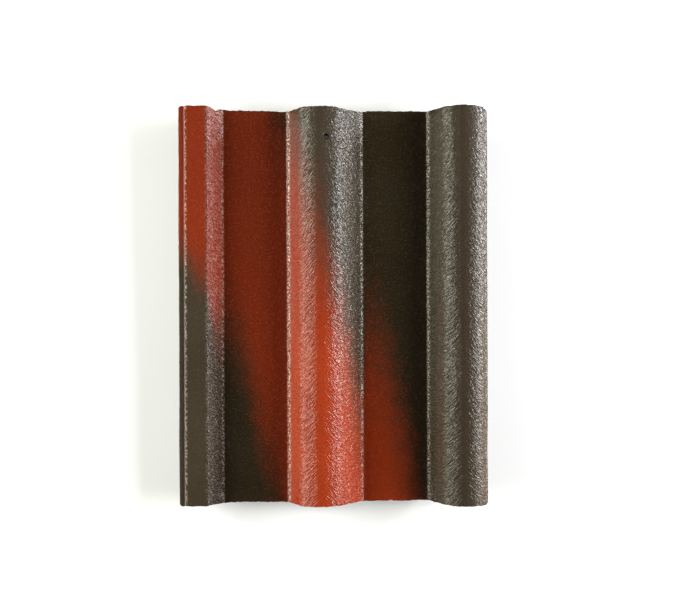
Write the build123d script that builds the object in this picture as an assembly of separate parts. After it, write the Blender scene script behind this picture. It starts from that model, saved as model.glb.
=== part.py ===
from build123d import *
import math
import os

# Two-roll interlocking concrete roof tile, millimetres.
# Drawing frame: x from the left (underlock) side to the right (overlock roll),
# y from the tail to the head, z up, z = 0 on the water face of the left pan.
LENGTH = 422.0          # tail to head
WIDTH = 328.0           # underlock edge to overlock edge
COVER = 300.0           # laid width, so the side lap is 28
PAN_T = 11.5            # body thickness in the pans
UNDERLOCK_Z = 17.3      # top of the flat underlock ledge
STRIP_Z = 15.2          # outer drip strip beside the ledge
ROLL_X = 149.5          # crest of the centre roll
LAP_ROLL_X = 302.5      # crest of the overlock roll
NAIL_R = 3.0            # nail hole radius
NAIL_X = 156.4          # nail hole, from the underlock edge
NAIL_FROM_HEAD = 32.5   # nail hole, from the head edge
NIB_DROP = 14.0         # nib depth under the pan
NIB_FACE_FROM_HEAD = 26.0
NIB_W = 40.0
NIB_FOOT = 10.0         # flat foot of the nib, along y
NIB_X = (80.5, 232.5)
BAR_DROP = 5.5          # weather bars under the tail
BAR_W = 7.0
BAR_FROM_TAIL = (3.0, 24.0)
BAR_SPAN = ((52.0, 115.0), (200.5, 267.5))
CORNER_R = 2.5          # plan radius of the four corners

# Cross-section, one closed ring of (x, z, corner radius).
# Water face, left to right.
TOP = [
    (0.0, STRIP_Z - 0.1, 1.4),
    (6.3, STRIP_Z, 0.5),
    (7.3, UNDERLOCK_Z, 0.7),
    (23.5, UNDERLOCK_Z, 9.0),
    (30.3, 14.0, 7.0),
    (47.3, 0.0, 6.0),
    (114.7, -0.8, 1.3),
    (ROLL_X - 20.7, 22.6, 24.0),
    (ROLL_X - 4.6, 32.3, 20.0),
    (ROLL_X + 18.4, 28.4, 28.0),
    (197.7, 0.0, 4.0),
    (267.3, -1.2, 1.3),
    (LAP_ROLL_X - 20.8, 24.0, 24.0),
    (LAP_ROLL_X - 5.0, 34.0, 20.0),
    (LAP_ROLL_X + 18.0, 30.2, 26.0),
    (WIDTH, 22.0, 2.0),
]
# Underside, right to left. The rib at 300.6 to 305.4 hangs over the drip
# strip of the tile beside.
UNDER = [
    (WIDTH, 16.0, 1.2),
    (323.4, 18.3, 4.0),
    (317.5, 20.9, 5.0),
    (306.9, 21.3, 1.0),
    (305.4, 16.5, 0.9),
    (300.6, 16.5, 0.9),
    (299.2, 21.3, 1.0),
    (296.2, 20.9, 6.0),
    (286.6, 14.4, 12.0),
    (271.0, -PAN_T, 3.0),
    (196.4, -PAN_T, 4.0),
    (166.4, 16.8, 16.0),
    (145.2, 20.2, 14.0),
    (133.4, 13.2, 12.0),
    (118.2, -PAN_T, 3.0),
    (47.1, -PAN_T, 4.0),
    (24.4, 7.6, 7.0),
    (0.3, 7.2, 1.2),
]

ring = TOP + UNDER
pts = [(x, 0.0, z) for x, z, r in ring]
outline = FilletPolyline(*pts, radius=[r for x, z, r in ring], close=True)
section = make_face(outline)
body = extrude(section, amount=LENGTH, dir=(0, 1, 0))


# Batten nibs: upright bearing face towards the tail, sloped back towards the head.
def nib(xc):
    y0 = LENGTH - NIB_FACE_FROM_HEAD
    z0 = -PAN_T - NIB_DROP
    side = Plane.YZ * Polyline(
        (y0, -PAN_T + 4.0), (y0, z0), (y0 + NIB_FOOT, z0), (y0 + 19.0, -PAN_T + 4.0), close=True
    )
    block = extrude(make_face(side), amount=NIB_W)
    block = Pos(xc - NIB_W / 2, 0, 0) * block
    # Sides drawn in 8 degrees towards the foot.
    front = Plane.XZ * Polyline(
        (xc - NIB_W / 2, -PAN_T + 4.0),
        (xc - NIB_W / 2 + 2.6, z0 - 1.0),
        (xc + NIB_W / 2 - 2.6, z0 - 1.0),
        (xc + NIB_W / 2, -PAN_T + 4.0),
        close=True,
    )
    wedge = extrude(make_face(front), amount=LENGTH + 50, both=True)
    return block & wedge


for xc in NIB_X:
    body = body + nib(xc)


# Weather bars across the underside of both pans at the tail, sides drawn in.
def bar(x0, x1, y0):
    z0 = -PAN_T - BAR_DROP
    side = Plane.YZ * Polyline(
        (y0, -PAN_T + 4.0),
        (y0 + 0.8, z0),
        (y0 + BAR_W - 1.6, z0),
        (y0 + BAR_W, -PAN_T + 4.0),
        close=True,
    )
    block = Pos(x0, 0, 0) * extrude(make_face(side), amount=x1 - x0)
    front = Plane.XZ * Polyline(
        (x0, -PAN_T + 4.0), (x0 + 2.5, z0 - 1.0), (x1 - 2.5, z0 - 1.0), (x1, -PAN_T + 4.0), close=True
    )
    wedge = extrude(make_face(front), amount=LENGTH, both=True)
    return block & wedge


for x0, x1 in BAR_SPAN:
    for y0 in BAR_FROM_TAIL:
        body = body + bar(x0, x1, y0)

# Plan corners, slightly rounded at the cut ends.
mask = Plane.XY * RectangleRounded(WIDTH, LENGTH, CORNER_R)
mask = Pos(WIDTH / 2, LENGTH / 2, -60) * extrude(mask, amount=140)
body = body & mask

# Nail hole through the crest of the centre roll, square to the tile.
hole = Pos(NAIL_X, LENGTH - NAIL_FROM_HEAD, 20) * Cylinder(NAIL_R, 80)
body = body - hole

# As it lies on a level floor: on the nibs' bearing edge at the head
# and on the rearmost weather bar at the tail.
nib_y = LENGTH - NIB_FACE_FROM_HEAD
nib_z = -PAN_T - NIB_DROP
bar_y = BAR_FROM_TAIL[0] + 0.8
bar_z = -PAN_T - BAR_DROP
TILT = math.degrees(math.atan2(bar_z - nib_z, nib_y - bar_y))
body = Pos(-WIDTH / 2, -LENGTH / 2, 0) * body
body = Rot(TILT, 0, 0) * body
bb = body.bounding_box()
shift = Vector(-(bb.min.X + bb.max.X) / 2, -(bb.min.Y + bb.max.Y) / 2, -bb.min.Z)
body = Pos(shift.X, shift.Y, shift.Z) * body

solid = body.solids()[0]
print("valid", solid.is_valid)
print("solids", len(body.solids()), "volume cm3", round(solid.volume / 1000, 1))
print("section area", round(section.area, 1))
print("tilt", round(TILT, 4), "shift", tuple(round(v, 4) for v in (shift.X, shift.Y, shift.Z)))

os.makedirs("parts", exist_ok=True)
export_step(solid, "parts/roof_tile.step")
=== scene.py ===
import math

import bpy
import bmesh
import numpy as np
from mathutils import Matrix, Vector
from mathutils.geometry import delaunay_2d_cdt


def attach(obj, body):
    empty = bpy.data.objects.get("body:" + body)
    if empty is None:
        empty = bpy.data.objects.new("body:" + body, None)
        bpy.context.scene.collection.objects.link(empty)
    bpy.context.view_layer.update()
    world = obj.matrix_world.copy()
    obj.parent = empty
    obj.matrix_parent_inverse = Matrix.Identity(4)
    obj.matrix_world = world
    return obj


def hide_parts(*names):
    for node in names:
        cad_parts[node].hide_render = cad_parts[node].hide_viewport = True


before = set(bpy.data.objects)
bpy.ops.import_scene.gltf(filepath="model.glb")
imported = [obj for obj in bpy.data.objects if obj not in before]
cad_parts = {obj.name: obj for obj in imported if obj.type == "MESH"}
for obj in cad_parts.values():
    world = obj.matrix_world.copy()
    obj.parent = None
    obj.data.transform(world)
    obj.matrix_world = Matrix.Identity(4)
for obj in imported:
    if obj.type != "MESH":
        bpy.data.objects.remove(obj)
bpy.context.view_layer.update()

scene = bpy.context.scene

# ------------------------------------------------------------------ sizes, mm
# The tile's own plane: x from the left (underlock) edge, y from the tail,
# z from the top of the left pan.
LENGTH, WIDTH = 422.0, 328.0
TILT = math.atan(8.5 / (396.0 - 3.8))        # nibs lift the head a little
CT, ST = math.cos(TILT), math.sin(TILT)
SHIFT = (-0.0267, 0.2332, 21.4855)
TOP = [
    (0.15, 11.4, 0), (0.0, 15.1, 1.4), (6.3, 15.2, 0.8), (7.4, 17.3, 1.0), (30.0, 16.5, 3.5),
    (45.8, 0.5, 3.5), (115.9, -0.8, 3.4), (129.2, 22.6, 24),
    (144.9, 32.6, 28), (167.3, 29.0, 35), (195.4, 0.9, 3.4), (267.3, -1.2, 3.2),
    (281.7, 24.0, 24), (295.5, 33.6, 27.5), (317.5, 30.7, 28), (328.0, 21.2, 2),
    (328.0, 18.8, 0),
]
UNDER = [
    (328.0, 18.8, 0), (328.0, 16.0, 1.2), (323.4, 18.3, 4), (317.5, 20.9, 5),
    (306.9, 21.3, 1), (305.4, 16.5, 0.9), (300.6, 16.5, 0.9), (299.2, 21.3, 1),
    (296.2, 20.9, 6), (286.6, 14.4, 12), (271.0, -11.5, 3), (196.4, -11.5, 4),
    (166.4, 16.8, 16), (145.2, 20.2, 14), (133.4, 13.2, 12), (118.2, -11.5, 3),
    (47.1, -11.5, 4), (24.4, 7.6, 7), (0.3, 7.2, 1.2), (0.15, 11.4, 0),
]
NAIL = (156.4, 389.5, 3.0)
NIB_X = (80.5, 232.5)
BAR_SPAN = ((52.0, 115.0), (200.5, 267.5))
BAR_Y = (3.0, 24.0)
CREST_L, CREST_R = 149.5, 302.5


def place(p):
    """Tile-plane millimetres to metres in the stored frame."""
    q = np.empty_like(p)
    px, py, pz = p[:, 0] - WIDTH / 2, p[:, 1] - LENGTH / 2, p[:, 2]
    q[:, 0] = px + SHIFT[0]
    q[:, 1] = py * CT - pz * ST + SHIFT[1]
    q[:, 2] = py * ST + pz * CT + SHIFT[2]
    return q / 1000.0


# ---------------------------------------------------------------- small tools
def smooth(a, b, v):
    t = np.clip((np.asarray(v, float) - a) / (b - a), 0.0, 1.0)
    return t * t * (3 - 2 * t)


def steps(v, pts):
    pts = np.array(pts)
    return np.interp(v, pts[:, 0], pts[:, 1])


def hashed(ix, iy, iz, seed):
    h = (ix * 374761393 + iy * 668265263 + iz * 1440662683 + seed * 97586761) & 0xFFFFFFFF
    h = ((h ^ (h >> 13)) * 1274126177) & 0xFFFFFFFF
    h = ((h ^ (h >> 15)) * 1103515245) & 0xFFFFFFFF
    return ((h ^ (h >> 16)) & 0xFFFF) / 65535.0 * 2 - 1


def noise(x, y, z, seed):
    """Smooth value noise, -1 to 1, one cell a unit."""
    p = [np.asarray(v, float) for v in (x, y, z)]
    p = np.broadcast_arrays(*p)
    i = [np.floor(v).astype(np.int64) for v in p]
    f = [v - w for v, w in zip(p, i)]
    f = [v * v * v * (v * (v * 6 - 15) + 10) for v in f]
    out = 0.0
    for a in (0, 1):
        for b in (0, 1):
            for c in (0, 1):
                w = (f[0] if a else 1 - f[0]) * (f[1] if b else 1 - f[1]) * (f[2] if c else 1 - f[2])
                out = out + w * hashed(i[0] + a, i[1] + b, i[2] + c, seed)
    return out


def run(points, step, turn):
    """Sampled open line through points with filleted corners."""
    pts = [np.array(p[:2], float) for p in points]
    out = [pts[0]]

    def line(a, b):
        n = max(1, int(math.ceil(np.linalg.norm(b - a) / step)))
        for k in range(1, n + 1):
            out.append(a + (b - a) * k / n)

    for k in range(1, len(pts) - 1):
        r = points[k][2]
        d0 = pts[k] - pts[k - 1]
        d1 = pts[k + 1] - pts[k]
        d0 /= np.linalg.norm(d0)
        d1 /= np.linalg.norm(d1)
        phi = math.atan2(d0[0] * d1[1] - d0[1] * d1[0], float(d0 @ d1))
        t = r * math.tan(abs(phi) / 2)
        a, b = pts[k] - d0 * t, pts[k] + d1 * t
        line(out[-1], a)
        side = np.array([-d0[1], d0[0]]) * (1 if phi > 0 else -1)
        c = a + side * r
        n = max(2, int(math.ceil(abs(phi) * r / step)), int(math.ceil(abs(phi) / turn)))
        for m in range(1, n + 1):
            ang = phi * m / n
            v = a - c
            out.append(c + np.array([v[0] * math.cos(ang) - v[1] * math.sin(ang),
                                     v[0] * math.sin(ang) + v[1] * math.cos(ang)]))
    line(out[-1], pts[-1])
    whole = np.diff(np.array(out), axis=0)
    if ((whole[1:] * whole[:-1]).sum(1) < -1e-9).any():
        raise ValueError("two corner radii of the section overlap")
    keep = [out[0]]
    for p in out[1:]:
        if np.linalg.norm(p - keep[-1]) > 0.05:
            keep.append(p)
    return np.array(keep)


def normals2(c):
    """Outward normals of a line that runs clockwise round the section."""
    d = np.gradient(c, axis=0)
    n = np.stack([-d[:, 1], d[:, 0]], 1)
    return n / np.linalg.norm(n, axis=1)[:, None]


# ------------------------------------------------------------------- the mesh
STEP = 1.62
top = run(TOP, STEP, math.radians(17))
under = run(UNDER, 3.6, math.radians(30))[1:-1]
ring = np.vstack([top, under])
ring_n = normals2(np.vstack([ring[-1:], ring, ring[:1]]))[1:-1]
nT, nU = len(top), len(under)

END_R = 0.55
fine = [0.0, 0.1, 0.3, 0.6, 1.3, 2.4]
count = int(round((LENGTH - 2 * 3.8) / STEP))
ys = np.array(fine + list(np.linspace(3.8, LENGTH - 3.8, count + 1)) + [LENGTH - v for v in fine[::-1]])
coarse = sorted(set([0, 1, 2, 3, 5] + list(range(6, len(ys) - 6, 3)) + [len(ys) - 1 - k for k in (5, 3, 2, 1, 0)]))
yc = ys[coarse]


def inset(y):
    d = np.minimum(y, LENGTH - y)
    return np.where(d < END_R, END_R - np.sqrt(np.maximum(0, END_R ** 2 - (END_R - np.minimum(d, END_R)) ** 2)), 0.0)


def sweep(c, n, y):
    g = np.empty((len(y), len(c), 3))
    e = inset(y)[:, None]
    g[:, :, 0] = c[None, :, 0] - n[None, :, 0] * e
    g[:, :, 2] = c[None, :, 1] - n[None, :, 1] * e
    g[:, :, 1] = y[:, None]
    return g


gT = sweep(top, ring_n[:nT], ys)
gU = sweep(under, ring_n[nT:], yc)
verts = [tuple(v) for v in gT.reshape(-1, 3)] + [tuple(v) for v in gU.reshape(-1, 3)]
base = gT.shape[0] * nT
faces = []
for i in range(len(ys) - 1):
    for j in range(nT - 1):
        a = i * nT + j
        faces.append((a, a + 1, a + nT + 1, a + nT))
for i in range(len(yc) - 1):
    for j in range(nU - 1):
        a = base + i * nU + j
        faces.append((a, a + 1, a + nU + 1, a + nU))
for side in (0, 1):                       # fine top columns meet coarse under columns
    jt, ju = (nT - 1, 0) if side == 0 else (0, nU - 1)
    for k in range(len(coarse) - 1):
        a, b = coarse[k], coarse[k + 1]
        ua, ub = base + k * nU + ju, base + (k + 1) * nU + ju
        mid = (a + b) // 2 if b - a > 1 else b
        for i in range(a, b):
            apex = ua if i < mid else ub
            f = (i * nT + jt, apex, (i + 1) * nT + jt)
            faces.append(f if side == 0 else f[::-1])
        f = (mid * nT + jt, ua, ub)
        faces.append(f if side == 0 else f[::-1])


def inside(poly, p):
    x, z = p[:, 0][:, None], p[:, 1][:, None]
    a, b = poly, np.roll(poly, -1, 0)
    hit = ((a[None, :, 1] > z) != (b[None, :, 1] > z)) & (
        x < (b[None, :, 0] - a[None, :, 0]) * (z - a[None, :, 1]) / (b[None, :, 1] - a[None, :, 1] + 1e-12) + a[None, :, 0])
    odd = hit.sum(1) % 2 == 1
    ab = b - a
    t = np.clip(((p[:, None, :] - a[None]) * ab[None]).sum(2) / (ab ** 2).sum(1)[None], 0, 1)
    dist = np.linalg.norm(p[:, None, :] - (a[None] + ab[None] * t[..., None]), axis=2).min(1)
    return odd & (dist > 0.95)


rng = np.random.default_rng(41)
gx, gz = np.meshgrid(np.arange(0.6, WIDTH, 2.1), np.arange(-11, 34, 1.9))
seedpts = np.stack([gx.ravel(), gz.ravel()], 1) + rng.uniform(-0.45, 0.45, (gx.size, 2))
for end in (0, 1):
    row_t = 0 if end == 0 else len(ys) - 1
    row_u = 0 if end == 0 else len(yc) - 1
    ids = [row_t * nT + j for j in range(nT)] + [base + row_u * nU + j for j in range(nU)]
    loop2 = np.array([[verts[i][0], verts[i][2]] for i in ids])
    extra = seedpts[inside(loop2, seedpts)]
    coords = [Vector(p) for p in loop2] + [Vector(p) for p in extra]
    n = len(ids)
    got = delaunay_2d_cdt(coords, [(k, (k + 1) % n) for k in range(n)], [], 1, 1e-5)
    new_v, new_f, src = got[0], got[2], got[3]
    y = ys[row_t]
    ident = []
    for k, v in enumerate(new_v):
        o = [s for s in src[k] if s < n]
        if o:
            ident.append(ids[o[0]])
        else:
            ident.append(len(verts))
            verts.append((v[0], y, v[1]))
    for f in new_f:
        t = tuple(ident[q] for q in f)
        faces.append(t if end == 1 else t[::-1])

mesh = bpy.data.meshes.new("tile_body")
mesh.from_pydata(verts, [], faces)
bm = bmesh.new()
bm.from_mesh(mesh)
bmesh.ops.recalc_face_normals(bm, faces=bm.faces[:])
if any(not e.is_manifold for e in bm.edges):
    raise ValueError("the body is not closed")
bm.to_mesh(mesh)
bm.free()
tile = bpy.data.objects.new("tile_body", mesh)
scene.collection.objects.link(tile)


def block(name, corners, bevel, rows=1):
    """A closed drafted block from eight corners, its lower edges rounded."""
    b = bmesh.new()
    v = [b.verts.new(c) for c in corners]
    for f in ((0, 1, 2, 3), (7, 6, 5, 4), (0, 4, 5, 1), (1, 5, 6, 2), (2, 6, 7, 3), (3, 7, 4, 0)):
        b.faces.new([v[k] for k in f])
    bmesh.ops.recalc_face_normals(b, faces=b.faces[:])
    edges = [e for e in b.edges if not (e.verts[0].co.z > -8 and e.verts[1].co.z > -8)]
    bmesh.ops.bevel(b, geom=edges, offset=bevel, segments=3, profile=0.5, affect="EDGES", clamp_overlap=True)
    m = bpy.data.meshes.new(name)
    b.to_mesh(m)
    b.free()
    o = bpy.data.objects.new(name, m)
    scene.collection.objects.link(o)
    return o


tools = []
for cx in NIB_X:
    w = 20.0
    d = 2.6
    tools.append(("UNION", block("t", [
        (cx - w, 396, -7.5), (cx + w, 396, -7.5), (cx + w, 415, -7.5), (cx - w, 415, -7.5),
        (cx - w + d, 396, -25.5), (cx + w - d, 396, -25.5), (cx + w - d, 406, -25.5), (cx - w + d, 406, -25.5)], 1.3)))
for x0, x1 in BAR_SPAN:
    for y0 in BAR_Y:
        d = 2.5
        tools.append(("UNION", block("t", [
            (x0, y0, -7.5), (x1, y0, -7.5), (x1, y0 + 7, -7.5), (x0, y0 + 7, -7.5),
            (x0 + d, y0 + 0.8, -17), (x1 - d, y0 + 0.8, -17), (x1 - d, y0 + 5.4, -17), (x0 + d, y0 + 5.4, -17)], 0.9)))
b = bmesh.new()
levels = np.linspace(8, 42, 22)
rings = []
for k, zz in enumerate(levels):
    ringv = []
    for a in range(28):
        th = a / 28 * math.tau
        r = NAIL[2] + 0.16 * float(noise(math.cos(th) * 1.6, math.sin(th) * 1.6, zz * 0.35, 5))
        r += 0.5 * max(0.0, 1 - abs(zz - 31.6) / 1.2)
        ringv.append(b.verts.new((NAIL[0] + r * math.cos(th), NAIL[1] + r * 1.08 * math.sin(th), zz)))
    rings.append(ringv)
for k in range(len(rings) - 1):
    for a in range(28):
        c = (a + 1) % 28
        b.faces.new((rings[k][a], rings[k][c], rings[k + 1][c], rings[k + 1][a]))
b.faces.new(rings[0][::-1])
b.faces.new(rings[-1])
bmesh.ops.recalc_face_normals(b, faces=b.faces[:])
m = bpy.data.meshes.new("t")
b.to_mesh(m)
b.free()
o = bpy.data.objects.new("t", m)
scene.collection.objects.link(o)
tools.append(("DIFFERENCE", o))

for op, cutter in tools:
    mod = tile.modifiers.new("b", "BOOLEAN")
    mod.operation = op
    mod.solver = "MANIFOLD"
    mod.object = cutter
deps = bpy.context.evaluated_depsgraph_get()
done = bpy.data.meshes.new_from_object(tile.evaluated_get(deps))
tile.modifiers.clear()
tile.data = done
done.name = "tile_body"
for op, cutter in tools:
    bpy.data.objects.remove(cutter)

# ---------------------------------------------------- relief, edges and chips
nv = len(done.vertices)
P = np.empty(nv * 3)
done.vertices.foreach_get("co", P)
P = P.reshape(-1, 3)
N = np.empty(nv * 3)
done.vertices.foreach_get("normal", N)
N = N.reshape(-1, 3)
x, y, z = P[:, 0].copy(), P[:, 1].copy(), P[:, 2].copy()

prof_t = run(TOP, 0.4, math.radians(8))
prof_u = run(UNDER, 0.4, math.radians(8))[::-1]
zt = np.interp(x, prof_t[:, 0], prof_t[:, 1])
zu = np.interp(x, prof_u[:, 0], prof_u[:, 1])
arc = np.concatenate([[0], np.cumsum(np.linalg.norm(np.diff(prof_t, axis=0), axis=1))])
u = np.interp(x, prof_t[:, 0], arc)
slope_t = np.interp(x, prof_t[:, 0], np.gradient(prof_t[:, 1]) / np.maximum(1e-3, np.gradient(prof_t[:, 0])))
# 1 on the sprayed top, 0 under the tile, in between down the side edges
face_up = smooth(0.25, 0.8, (z - zu) / np.maximum(zt - zu, 1.0))
isend = (np.abs(N[:, 1]) > 0.6) & ((y < 1) | (y > LENGTH - 1))

# signed flow across each roll: streaks run up and towards the crest
away = steps(x, [(0, 12), (25, 14), (33, 22), (47, 33), (62, 38), (CREST_L - 63, 40), (CREST_L - 30, 24), (CREST_L - 16, 14.5),
                 (CREST_L - 4, 2.6), (CREST_L, 1.0), (CREST_L + 4, 2.6), (CREST_L + 16, 15), (CREST_L + 28, 22.5),
                 (CREST_L + 44, 28.5), (CREST_L + 76.5, 36), (CREST_R - 35, 28), (CREST_R - 17, 15), (CREST_R - 4, 2.6),
                 (CREST_R, 1.0), (CREST_R + 4, 2.6), (CREST_R + 14, 13), (328, 22)])

relief = 0.30 * noise(x / 46, y / 58, 0, 11) + 0.12 * noise(x / 17, y / 21, 3, 12)
peel = 0.085 * noise(u / 3.6, y / 4.6, 1, 21) + 0.05 * noise((y + away) / 3.0, (u - y * 0.2) / 6.0, 2, 22)
low = 0.22 * noise(x / 24, y / 26, z / 9, 31) + 0.10 * noise(x / 5.5, y / 6.0, z / 5, 32)
amp = face_up * (relief + peel) + (1 - face_up) * low
edge = np.minimum(y, LENGTH - y)
P += N * amp[:, None] * np.where(edge < 0.8, 0.5, 1.0)[:, None]
end_rough = 0.28 * noise(x / 3.2, z / 3.0, 7, 41) + 0.16 * noise(x / 1.9, z / 1.8, 8, 42)
P[:, 1] += np.where(isend, end_rough * np.sign(N[:, 1]) * 1.0, 0.0)

# small beads of slurry along the feet of the rolls
for foot, wide in ((115.9, 1.6), (195.4, 1.5), (267.3, 1.5), (7.2, 0.9)):
    band = np.exp(-((x - foot) / wide) ** 2) * face_up
    P[:, 2] += band * (0.20 * noise(y / 2.3, x / 1.2, foot, 52) + 0.12)

# pimpled rim of the nail hole
rh = np.hypot(x - NAIL[0], y - NAIL[1])
rim = np.exp(-((rh - 4.4) / 1.3) ** 2) * (rh > 3.2) * face_up
P[:, 2] += rim * (0.22 + 0.35 * noise(x / 1.5, y / 1.5, 4, 51))
P[:, 2] -= 0.35 * np.exp(-((rh - 3.3) / 0.6) ** 2) * face_up


def bump1(v, c, w, h):
    return h * np.exp(-((v - c) / w) ** 2)


# uneven cut at the head and the tail (mm beyond the nominal end)
head = steps(x, [(0, 0.7), (2, 1.6), (8, 2.2), (30, 2.3), (34, 1.6), (48, 0.6), (56, 0.1), (66, 0.5),
                 (76, -0.1), (88, 0.1), (100, -0.4), (110, -0.5), (122, -0.6), (150, -0.7), (166, -0.4),
                 (175, -1.4), (190, -1.7), (197, -1.0), (203, 0.4), (235, 0.3), (262, 0.1), (276, 0.5),
                 (290, 0.9), (300, 1.1), (316, 0.5), (323, -0.2), (328, -2.2)])
head = head + bump1(x, 38.6, 2.1, -2.6) + bump1(x, 171, 3.0, -1.0) + bump1(x, 325.5, 2.0, -1.2)
head = head + 0.35 * noise(x / 3.4, 0, 0, 61) + 0.18 * noise(x / 1.6, 0, 0, 62)
tail = steps(x, [(0, -0.5), (4, 0.4), (36, 0.2), (64, -0.3), (98, 0.0), (129, 0.3), (153, -0.5), (177, -0.8),
                 (200, -0.3), (244, 0.4), (256, -0.4), (270, 0.0), (297, 0.5), (328, 0.2)])
tail = tail + bump1(x, 226.5, 1.8, -1.1) + bump1(x, 249.5, 1.6, -1.0)
tail = tail + 0.22 * noise(x / 4.1, 0, 0, 63) + 0.12 * noise(x / 1.7, 0, 0, 64)
rc = 2.5
d0 = np.minimum(np.minimum(x, WIDTH - x), rc)
corner = rc - np.sqrt(np.maximum(0, rc ** 2 - (rc - d0) ** 2))
fade_h = smooth(13, 0, LENGTH - y)
fade_t = smooth(13, 0, y)
low_part = 0.45 + 0.55 * face_up
P[:, 1] += fade_h * (head * low_part - corner) - fade_t * (tail * low_part - corner)

P = place(P)
done.vertices.foreach_set("co", P.ravel())
done.update()
for poly in done.polygons:
    poly.use_smooth = True
done.set_sharp_from_angle(angle=math.radians(46))

# ------------------------------------------- how the coats of colour were laid, with painted light and shade
LOWER = [(2.2, 270.0), (10, 262.0), (17.4, 251.0), (28.6, 240.0), (32, 215), (36.8, 194.0), (44.5, 192.0), (50.9, 202.0), (63.4, 180.0),
         (74.4, 138.1), (80.9, 107.7), (87.4, 84.8), (95.9, 60.9), (104.4, 34.8), (112.0, 0.0), (118, -60), (124, -200), (130, -400)]
UPPER = [(80, 640), (88, 500), (95.9, 433.8), (111.0, 406.9), (119.8, 402.2), (128.3, 350.1), (133.9, 323.2), (141.2, 296.6),
         (149.3, 275.5), (157.9, 244.1), (165.0, 217.8), (175.9, 175.4), (187.1, 110.6), (195.1, 77.4),
         (199.8, 184.0), (208.3, 170.0), (220.0, 138.6), (229.4, 100.1), (238.5, 60.9), (246.5, 26.0), (256, -20), (268, -90), (280, -300)]
lo = steps(x, LOWER)
up = steps(x, UPPER)
wl = steps(x, [(0, 30), (26, 38), (36, 46), (50, 80), (112, 92)])
wu = steps(x, [(96, 80), (118, 105), (150, 105), (190, 95), (197, 90), (200, 95), (215, 120), (250, 130)])
wob = 14 * noise(x / 30, y / 60, 0, 71)
spray = np.minimum((y - lo + wob * 0.5) / wl, (up - y + wob * 0.7) / wu)
spray = np.clip(spray, -2, 2)
# red brighter on the centre roll, the ledge and towards the tail, darker in the pans and at the head: partly a heavier
# coat of red, partly painted shade in the pans between the rolls and painted light on the raised ledge
roll = smooth(114, 119, x) * (1 - smooth(193, 199, x))
red_coat_light_shade = steps(y, [(0, 1.0), (150, 0.95), (260, 0.7), (422, 0.35)]) * roll + \
    steps(y, [(0, 0.25), (120, 0.22), (260, 0.10), (422, 0.0)]) * (1 - roll) + \
    0.18 * smooth(190, 215, x) + 0.35 * smooth(29, 32, x) * (1 - smooth(44, 47, x)) + 0.27 * (1 - smooth(27, 31, x))

flowv = np.stack([(y + away), u - 0.3 * y, z], 1) / 1000.0
flank = face_up * np.maximum(smooth(0.10, 0.45, np.abs(slope_t)), 0.50 * smooth(14, 24, z) * smooth(60, 120, x))
flank = flank * steps(x, [(0, 0.5), (27, 0.4), (31, 0.85), (46, 0.95), (50, 0.8), (60, 1.0), (114, 0.7), (125, 0.7), (131, 1.0), (328, 1.0)])


def attr(name, kind, values):
    a = done.attributes.new(name, kind, "POINT")
    a.data.foreach_set("vector" if kind == "FLOAT_VECTOR" else "value", np.ascontiguousarray(values, dtype=np.float32).ravel())


loc = np.stack([x, y, z], 1) / 1000.0
bare = np.where((y < 0.9) & (z < zt - 1.5), 0.55, 1.0) * np.where((y > LENGTH - 0.9) & (z < zt - 1.2), 0.12, 1.0)
attr("loc", "FLOAT_VECTOR", loc)
attr("flow", "FLOAT_VECTOR", flowv)
attr("spray", "FLOAT", spray)
attr("red_coat_light_shade", "FLOAT", np.clip(red_coat_light_shade, 0, 1))
attr("coated", "FLOAT", face_up * bare * np.where(rh < 3.3, 0.8, 1.0))
attr("flank", "FLOAT", flank)
# painted light and shade: the dark coat is made lighter with height, so the rolls read lit and the pans shaded
attr("high", "FLOAT", smooth(3.0, 17.0, z) * (1 - 0.25 * smooth(296, 300, x) * (1 - smooth(306, 312, x))) * np.where(x < 31, 0.72, 1.0))
# painted light and shade on the dark coat: lighter beside the centre roll's right foot, on the ledge and at the right
# roll's foot, darker in the second pan next to the right roll
pan_light_shade = steps(x, [(0, 1.14), (27, 1.14), (31, 1.0), (116, 1.0), (170, 1.0), (196, 1.55), (204, 1.42), (222, 1.22), (236, 1.0), (252, 0.84), (266, 0.90), (269, 1.15), (279, 1.15), (285, 1.0), (328, 1.0)])
attr("pan_light_shade", "FLOAT", pan_light_shade)
# painted highlight: beaded near-white glint lines along the feet of the rolls, the ledge step, the ledge slope and the
# right edge
glint_line = 1.0 * np.exp(-((x - 116.6) / 1.25) ** 2) + 0.68 * np.exp(-((x - 195.0) / 1.0) ** 2) + \
    0.58 * np.exp(-((x - 267.8) / 1.0) ** 2) + 0.55 * np.exp(-((x - 7.6) / 0.8) ** 2) + \
    0.16 * np.exp(-((x - 29.6) / 1.0) ** 2) + 0.30 * np.exp(-((x - 45.2) / 1.2) ** 2) + 0.30 * np.exp(-((x - 326.4) / 1.2) ** 2)
attr("glint_line", "FLOAT", np.clip(glint_line, 0, 1) * face_up * steps(y, [(0, 0.55), (200, 0.85), (422, 1.0)]))
# the dark coat turns a warm light brown towards the right edge, more so towards the tail
attr("right_edge_warmth", "FLOAT", smooth(308, 327, x) * steps(y, [(0, 0.8), (250, 0.55), (422, 0.15)]) * face_up)


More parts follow.
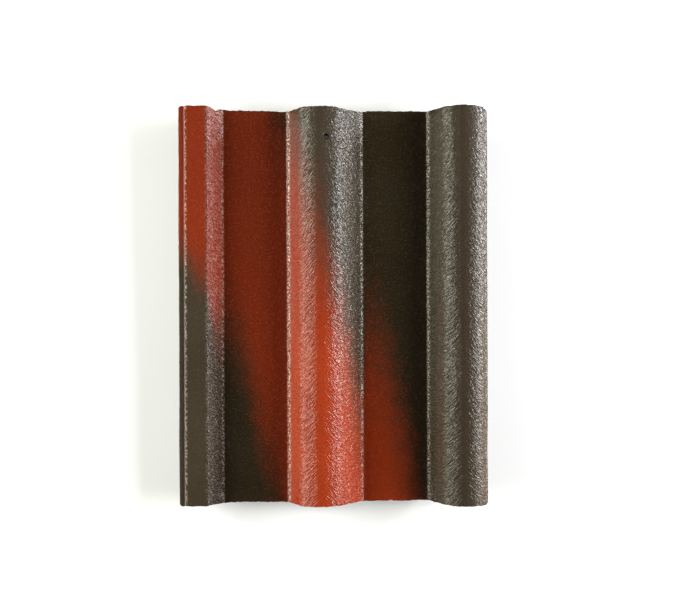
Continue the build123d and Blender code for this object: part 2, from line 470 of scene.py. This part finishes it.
# ------------------------------------------------------------------- material
class Nodes:
    def __init__(self, mat):
        mat.use_nodes = True
        self.t = mat.node_tree
        self.t.nodes.clear()

    def add(self, kind, **props):
        n = self.t.nodes.new(kind)
        for k, v in props.items():
            setattr(n, k, v)
        return n

    def link(self, a, b):
        self.t.links.new(a, b)

    def attr(self, name):
        n = self.add("ShaderNodeAttribute", attribute_name=name, attribute_type="GEOMETRY")
        return n

    def math(self, op, a, b=None, c=None, clamp=False):
        n = self.add("ShaderNodeMath", operation=op, use_clamp=clamp)
        for k, v in enumerate((a, b, c)):
            if v is None:
                continue
            if isinstance(v, (int, float)):
                n.inputs[k].default_value = v
            else:
                self.link(v, n.inputs[k])
        return n.outputs[0]

    def noise(self, vec, scale, detail=2.0, rough=0.5, dist=0.0):
        n = self.add("ShaderNodeTexNoise", noise_dimensions="3D")
        n.inputs["Scale"].default_value = scale
        n.inputs["Detail"].default_value = detail
        n.inputs["Roughness"].default_value = rough
        n.inputs["Distortion"].default_value = dist
        self.link(vec, n.inputs["Vector"])
        return n.outputs["Fac"]

    def ramp(self, fac, stops, interp="LINEAR"):
        n = self.add("ShaderNodeValToRGB")
        n.color_ramp.interpolation = interp
        els = n.color_ramp.elements
        while len(els) < len(stops):
            els.new(0.5)
        for e, (p, c) in zip(els, stops):
            e.position = p
            e.color = c if len(c) == 4 else (*c, 1)
        self.link(fac, n.inputs["Fac"])
        return n.outputs["Color"]

    def span(self, v, a, b, c=0.0, d=1.0, kind="SMOOTHSTEP"):
        n = self.add("ShaderNodeMapRange", interpolation_type=kind)
        n.clamp = True
        self.link(v, n.inputs["Value"])
        for k, val in zip(("From Min", "From Max", "To Min", "To Max"), (a, b, c, d)):
            n.inputs[k].default_value = val
        return n.outputs["Result"]

    def mix(self, fac, a, b, blend="MIX"):
        n = self.add("ShaderNodeMix", data_type="RGBA", blend_type=blend)
        if isinstance(fac, (int, float)):
            n.inputs["Factor"].default_value = fac
        else:
            self.link(fac, n.inputs["Factor"])
        for sock, v in ((n.inputs[6], a), (n.inputs[7], b)):
            if isinstance(v, tuple):
                sock.default_value = (*v, 1) if len(v) == 3 else v
            else:
                self.link(v, sock)
        return n.outputs[2]

    def scale(self, vec, s):
        n = self.add("ShaderNodeVectorMath", operation="MULTIPLY")
        self.link(vec, n.inputs[0])
        if isinstance(s, tuple):
            n.inputs[1].default_value = s
        else:
            self.link(s, n.inputs[1])
        return n.outputs[0]


mat = bpy.data.materials.new("coated_concrete")
g = Nodes(mat)
loc_v = g.attr("loc").outputs["Vector"]
flow_v = g.attr("flow").outputs["Vector"]
spray_f = g.attr("spray").outputs["Fac"]
red_coat_light_shade_f = g.attr("red_coat_light_shade").outputs["Fac"]
coated_f = g.attr("coated").outputs["Fac"]
flank_f = g.attr("flank").outputs["Fac"]
painted_height_light_f = g.attr("high").outputs["Fac"]
right_edge_warmth_f = g.attr("right_edge_warmth").outputs["Fac"]
pan_light_shade_f = g.attr("pan_light_shade").outputs["Fac"]
glint_line_f = g.attr("glint_line").outputs["Fac"]

mist = g.noise(loc_v, 60, 4, 0.6)                 # cloudy edge of each spray pass
grit = g.noise(loc_v, 520, 3, 0.6)                # droplets
fine_n = g.noise(loc_v, 1400, 2, 0.6)
broad = g.noise(loc_v, 14, 3, 0.5)

mask = g.math("ADD", spray_f, g.math("MULTIPLY", g.math("SUBTRACT", mist, 0.5), 0.9))
mask = g.math("ADD", mask, g.math("MULTIPLY", g.math("SUBTRACT", grit, 0.5), 0.8))
mask = g.span(mask, -0.95, 0.95)

# the red runs from a dark red in the pans to a bright red on the roll: partly painted shade and light, partly a thicker
# coat
red = g.mix(red_coat_light_shade_f, (0.108, 0.0115, 0.0026), (0.370, 0.0400, 0.0080))
red_b = g.mix(red_coat_light_shade_f, (0.120, 0.0130, 0.0028), (0.325, 0.0320, 0.0060))
red = g.mix(g.span(broad, 0.35, 0.65), red, red_b)
red = g.mix(g.span(grit, 0.50, 0.70, 0.0, 0.48), red, (0.330, 0.0520, 0.0140))
red = g.mix(g.span(fine_n, 0.30, 0.50, 0.42, 0.0), red, (0.070, 0.0110, 0.0040))
# painted light: the dark coat lighter up on the rolls, darker down in the pans
dark_a = g.mix(painted_height_light_f, (0.0200, 0.0120, 0.0048), (0.0440, 0.0315, 0.0190))
dark_b = g.mix(painted_height_light_f, (0.0225, 0.0148, 0.0065), (0.0490, 0.0360, 0.0225))
dark = g.mix(g.span(broad, 0.38, 0.62), dark_a, dark_b)
dark = g.mix(g.span(grit, 0.50, 0.70, 0.0, 0.50), dark, (0.0620, 0.0500, 0.0340))
dark = g.mix(g.span(fine_n, 0.30, 0.50, 0.50, 0.0), dark, (0.0120, 0.0095, 0.0065))
# painted light and shade across the pans
dark = g.scale(dark, pan_light_shade_f)
# warm light brown over the dark coat at the right edge
dark = g.mix(g.math("MULTIPLY", right_edge_warmth_f, g.span(mist, 0.3, 0.7, 0.75, 1.0)), dark, (0.1150, 0.0760, 0.0480))
coat_col = g.mix(mask, dark, red)
# painted highlight: near-white glint beads along those lines, also raised a little in the bump
glint_bead_n = g.noise(loc_v, 500, 1, 0.5)
glint_bead = g.math("MULTIPLY", glint_line_f, g.span(glint_bead_n, 0.48, 0.60))
coat_col = g.mix(g.math("MULTIPLY", glint_bead, 0.85), coat_col, (0.860, 0.790, 0.690))

# bare concrete below and on the cut ends, with drift of the sprayed colour
body_n = g.noise(loc_v, 90, 5, 0.6)
sand = g.add("ShaderNodeTexVoronoi", feature="F1")
sand.inputs["Scale"].default_value = 620
g.link(loc_v, sand.inputs["Vector"])
conc = g.ramp(body_n, [(0.28, (0.165, 0.150, 0.130)), (0.5, (0.235, 0.220, 0.195)), (0.72, (0.315, 0.300, 0.270))])
conc = g.mix(g.span(sand.outputs["Distance"], 0.10, 0.34, 0.55, 0.0), conc, (0.120, 0.105, 0.085))
conc = g.mix(g.span(grit, 0.60, 0.74, 0.0, 0.6), conc, (0.460, 0.440, 0.400))
pits = g.add("ShaderNodeTexVoronoi", feature="F1")
pits.inputs["Scale"].default_value = 115
g.link(loc_v, pits.inputs["Vector"])
pit = g.span(pits.outputs["Distance"], 0.07, 0.16, 1.0, 0.0)
# painted shade: the air holes are coloured darker
conc = g.mix(g.math("MULTIPLY", pit, 0.75), conc, (0.070, 0.062, 0.054))
cover = g.math("ADD", coated_f, g.math("MULTIPLY", g.math("SUBTRACT", mist, 0.5), 0.5))
cover = g.math("ADD", cover, g.math("MULTIPLY", g.math("SUBTRACT", grit, 0.5), 0.5))
cover = g.span(cover, 0.25, 0.62)
ridge = g.noise(g.scale(flow_v, (590.0, 165.0, 1.0)), 1.0, 1, 0.45, 0.6)
# painted shade: the coat darkened in the troughs of the ripples on the flanks
ripple_shade = g.math("MULTIPLY", g.math("MULTIPLY", g.span(ridge, 0.30, 0.56, 1.0, 0.0), flank_f), 0.20)
coat_col = g.mix(ripple_shade, coat_col, (0.012, 0.009, 0.006))
colour = g.mix(cover, conc, coat_col)

# relief: droplets drawn out into short ridges on the flanks, orange peel elsewhere
ridge2 = g.noise(g.scale(flow_v, (1250.0, 520.0, 1.0)), 1.0, 1, 0.5)
peel_n = g.noise(loc_v, 430, 2, 0.5)
h = g.math("MULTIPLY", g.span(ridge, 0.28, 0.72, 0, 1, "LINEAR"), g.math("MULTIPLY_ADD", flank_f, 0.60, 0.02))
h = g.math("ADD", h, g.math("MULTIPLY", ridge2, g.math("MULTIPLY_ADD", flank_f, 0.09, 0.02)))
h = g.math("ADD", h, g.math("MULTIPLY", peel_n, g.math("MULTIPLY_ADD", flank_f, 0.08, 0.26)))
h = g.math("ADD", h, g.math("MULTIPLY", fine_n, 0.07))
h = g.math("ADD", h, g.math("MULTIPLY", glint_bead, 0.55))
hc = g.math("ADD", g.math("MULTIPLY", grit, 0.50), g.math("MULTIPLY", pit, -0.9))
hc = g.math("ADD", hc, g.math("MULTIPLY", fine_n, 0.2))
mixh = g.add("ShaderNodeMix", data_type="FLOAT")
g.link(cover, mixh.inputs[0])
g.link(hc, mixh.inputs[2])
g.link(h, mixh.inputs[3])
bump = g.add("ShaderNodeBump")
bump.inputs["Strength"].default_value = 1.0
bump.inputs["Distance"].default_value = 0.001
g.link(mixh.outputs[0], bump.inputs["Height"])

rough_coat = g.span(grit, 0.3, 0.7, 0.33, 0.44, "LINEAR")
rough_mix = g.add("ShaderNodeMix", data_type="FLOAT")
g.link(cover, rough_mix.inputs[0])
rough_mix.inputs[2].default_value = 0.88
g.link(rough_coat, rough_mix.inputs[3])
bs = g.add("ShaderNodeBsdfPrincipled")
g.link(colour, bs.inputs["Base Color"])
g.link(rough_mix.outputs[0], bs.inputs["Roughness"])
bs.inputs["IOR"].default_value = 1.50
bs.inputs["Coat Roughness"].default_value = 0.09
bs.inputs["Coat IOR"].default_value = 1.50
wet = g.math("MULTIPLY_ADD", g.span(ridge, 0.30, 0.70, 0.0, 1.0), g.math("MULTIPLY_ADD", flank_f, 1.0, 0.2), 0.15)
wet = g.math("ADD", wet, g.math("MULTIPLY_ADD", flank_f, -0.30, 0.30), clamp=True)
g.link(g.math("MULTIPLY", cover, wet), bs.inputs["Coat Weight"])
g.link(bump.outputs["Normal"], bs.inputs["Coat Normal"])
g.link(bump.outputs["Normal"], bs.inputs["Normal"])
out = g.add("ShaderNodeOutputMaterial")
g.link(bs.outputs[0], out.inputs["Surface"])
done.materials.clear()
done.materials.append(mat)

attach(tile, "root")
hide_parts("roof_tile")

# ------------------------------------------------------------ floor and light
fm = bpy.data.meshes.new("floor")
fm.from_pydata([(-6, -6, 0), (6, -6, 0), (6, 6, 0), (-6, 6, 0)], [], [(0, 1, 2, 3)])
floor = bpy.data.objects.new("floor", fm)
scene.collection.objects.link(floor)
floor_mat = bpy.data.materials.new("pale_floor")
q = Nodes(floor_mat)
geo = q.add("ShaderNodeNewGeometry")
fn = q.noise(geo.outputs["Position"], 3.0, 2, 0.5)
fc = q.ramp(fn, [(0.3, (0.885, 0.885, 0.883)), (0.7, (0.905, 0.905, 0.903))])
fb = q.add("ShaderNodeBsdfPrincipled")
q.link(fc, fb.inputs["Base Color"])
fb.inputs["Roughness"].default_value = 0.9
fb.inputs["Specular IOR Level"].default_value = 0.1
fo = q.add("ShaderNodeOutputMaterial")
q.link(fb.outputs[0], fo.inputs["Surface"])
fm.materials.append(floor_mat)
floor.visible_glossy = False                # the sheen comes from the soft lights only
floor.visible_diffuse = False


def softbox(name, angle, azimuth, dist, high, wide, radiance, colour, along=0.0):
    """A soft light round the tile: angle from straight up, azimuth 0 is +X, moved along Y at the end."""
    d = bpy.data.lights.new(name, "AREA")
    d.shape = "RECTANGLE"
    d.size = wide
    d.size_y = high
    d.energy = radiance * math.pi * wide * high
    d.color = colour
    o = bpy.data.objects.new(name, d)
    a, z_ = math.radians(azimuth), math.radians(angle)
    o.location = (dist * math.sin(z_) * math.cos(a), dist * math.sin(z_) * math.sin(a), 0.03 + dist * math.cos(z_))
    back = Vector(o.location) - Vector((0, 0, 0.03))
    o.rotation_mode = "QUATERNION"
    o.rotation_quaternion = back.to_track_quat("Z", "Y")
    o.location.y += along
    o.visible_camera = False
    scene.collection.objects.link(o)
    return o


for name, angle, azimuth, strength, colour, along in (
        ("right_mid", 65, 0, 1.40, (1.0, 0.94, 0.84), 0.45),
        ("right_head", 77, 0, 14.2, (0.97, 0.98, 1.0), 0.45),
        ("right_tail", 77, 0, 5.2, (1.0, 0.97, 0.935), -0.45),
        ("right_low", 87, 0, 9.5, (0.97, 0.97, 1.0), 0.45),
        ("left_high", 52, 180, 5.9, (0.97, 1.0, 0.84), 0.45),
        ("left_head", 65, 180, 7.2, (0.975, 1.0, 0.84), 0.45),
        ("left_tail", 65, 180, 3.40, (1.0, 0.98, 0.80), -0.45),
        ("left_low_head", 77, 180, 4.20, (1.0, 0.98, 0.86), 0.45),
        ("left_low_tail", 77, 180, 1.75, (1.0, 0.965, 0.77), -0.45),
        ("left_rim", 87, 180, 5.40, (1.0, 0.97, 0.86), -0.45)):
    softbox(name, angle, azimuth, 1.5, 0.33, 0.9, strength, colour, along)
for name, azimuth, strength in (("fill_left", 180, 9.0), ("fill_right", 0, 14.4)):
    fill = softbox(name, 62, azimuth, 1.7, 0.70, 1.3, strength, (0.99, 1.0, 0.995))
    fill.visible_glossy = False

world = bpy.data.worlds.new("world")
scene.world = world
world.use_nodes = True
wt = world.node_tree
wt.nodes.clear()
lp = wt.nodes.new("ShaderNodeLightPath")
dimbg = wt.nodes.new("ShaderNodeBackground")
dimbg.inputs[0].default_value = (1.0, 1.0, 1.0, 1)
dimbg.inputs[1].default_value = 0.01
seen = wt.nodes.new("ShaderNodeBackground")
seen.inputs[0].default_value = (0.97, 0.97, 0.97, 1)
seen.inputs[1].default_value = 0.98
ms = wt.nodes.new("ShaderNodeMixShader")
wo = wt.nodes.new("ShaderNodeOutputWorld")
wt.links.new(lp.outputs["Is Camera Ray"], ms.inputs[0])
wt.links.new(dimbg.outputs[0], ms.inputs[1])
wt.links.new(seen.outputs[0], ms.inputs[2])
wt.links.new(ms.outputs[0], wo.inputs["Surface"])
scene.view_settings.view_transform = "Standard"

# --------------------------------------------------------------------- camera
FOCAL_PX, DIST, CX, CY = 960.40, 1038.0, -27.02, 6.64
YAW, PITCH, ROLL = 0.0349, 0.0039, 0.0033
ry = Matrix(((math.cos(YAW), 0, math.sin(YAW)), (0, 1, 0), (-math.sin(YAW), 0, math.cos(YAW))))
rx = Matrix(((1, 0, 0), (0, math.cos(PITCH), -math.sin(PITCH)), (0, math.sin(PITCH), math.cos(PITCH))))
rz = Matrix(((math.cos(ROLL), -math.sin(ROLL), 0), (math.sin(ROLL), math.cos(ROLL), 0), (0, 0, 1)))
turn = rz @ rx @ ry
lean = Matrix(((1, 0, 0), (0, CT, -ST), (0, ST, CT)))
cam_data = bpy.data.cameras.new("camera")
cam_data.sensor_width = 36.0
cam_data.lens = FOCAL_PX / 683.0 * 36.0
cam_data.clip_start, cam_data.clip_end = 0.01, 50
cam = bpy.data.objects.new("camera", cam_data)
rot = (lean @ turn.transposed()).to_4x4()
at = lean @ Vector((CX, CY, DIST)) + Vector(SHIFT)
cam.matrix_world = Matrix.Translation(at / 1000.0) @ rot
scene.collection.objects.link(cam)
scene.camera = cam
